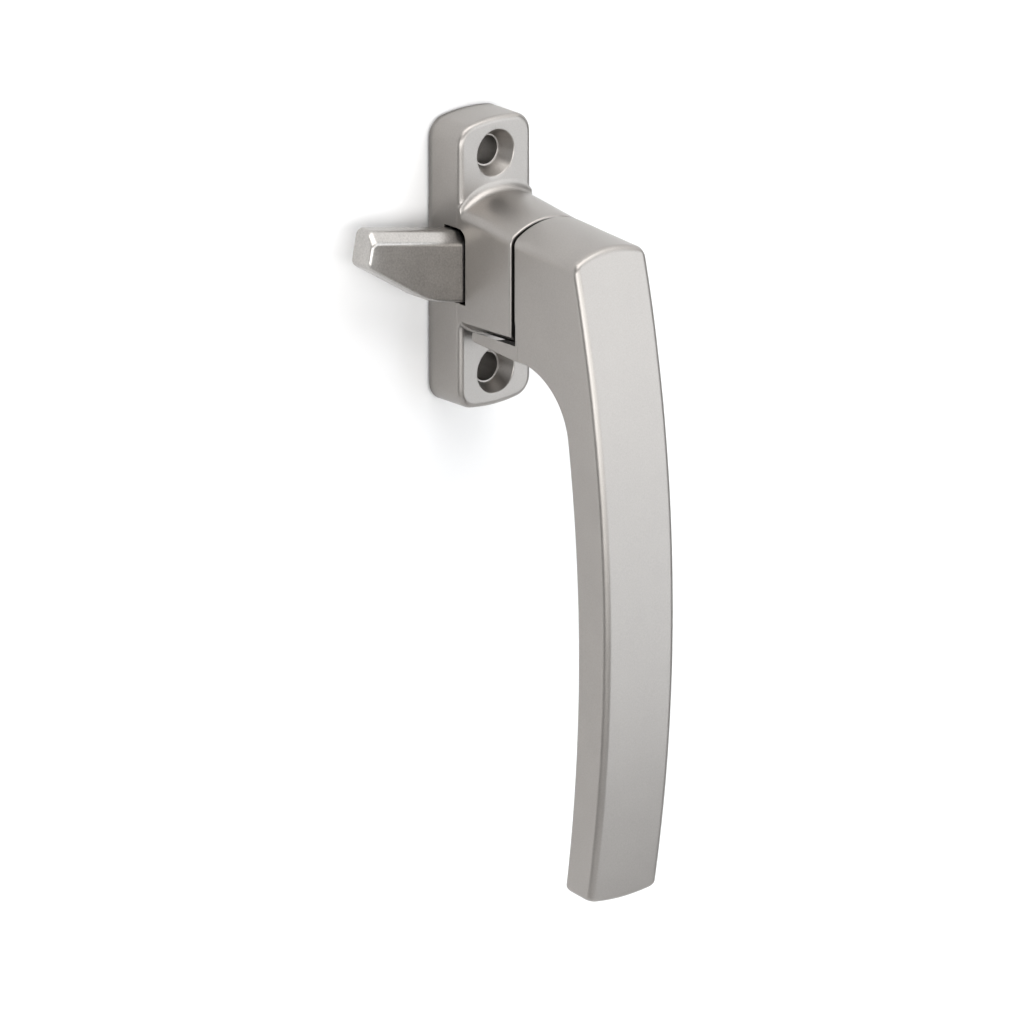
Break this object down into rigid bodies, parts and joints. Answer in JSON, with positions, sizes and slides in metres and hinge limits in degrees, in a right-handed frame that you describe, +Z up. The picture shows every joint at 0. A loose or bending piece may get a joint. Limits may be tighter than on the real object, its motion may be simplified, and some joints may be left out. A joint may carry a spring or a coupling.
{
  "type": "casement window handle",
  "caption": "Casement window handle: a cast base with screw lugs, a bowed lever that turns on the base's boss, and a wedge tongue that slides out of the boss's side.",
  "frame": {"origin": "centre of the mounting face, on the lever's axis and midway between the two screw holes", "axes": "+X to the right and +Z up as seen from the room, +Y out of the back towards the sash; the lever hangs down along -Z"},
  "size_m": [0.0418, 0.051, 0.1467],
  "materials": {
    "satin_paint": "satin silver-grey metallic coating",
    "bare_zinc": "bare die-cast metal, lightly blasted",
    "white_acetal": "moulded acetal",
    "steel": "zinc-plated steel",
    "black_steel": "blackened steel",
    "sintered_steel": "sintered steel"
  },
  "bodies": {
    "base": {"base_body": "satin_paint", "back_plate": "steel", "back_plate_screws": "steel", "tongue_glide": "white_acetal", "spindle_bush": "white_acetal", "stop_pin": "steel", "detent_ball": "steel", "detent_spring": "steel"},
    "lever": {"lever": "satin_paint", "spindle": "steel", "lever_grub_screw": "black_steel", "hub_washer": "white_acetal", "wave_washer": "steel", "stop_disc": "steel", "spacer_sleeve": "steel", "pinion": "sintered_steel", "pinion_screw": "steel"},
    "tongue": {"tongue": "bare_zinc"}
  },
  "joints": [
    {"name": "lever_turn", "type": "hinge", "parent": "base", "child": "lever", "pos_m": [0, -0.0248, 0], "axis": [0, -1, 0], "range_deg": [0, 90]},
    {"name": "tongue_slide", "type": "slide", "parent": "base", "child": "tongue", "axis": [0.9803, 0, -0.1977], "range_m": [0, 0.0066]}
  ],
  "couplings": [
    {"joint": "tongue_slide", "follows": "lever_turn", "m_per_rad": 0.0042}
  ]
}
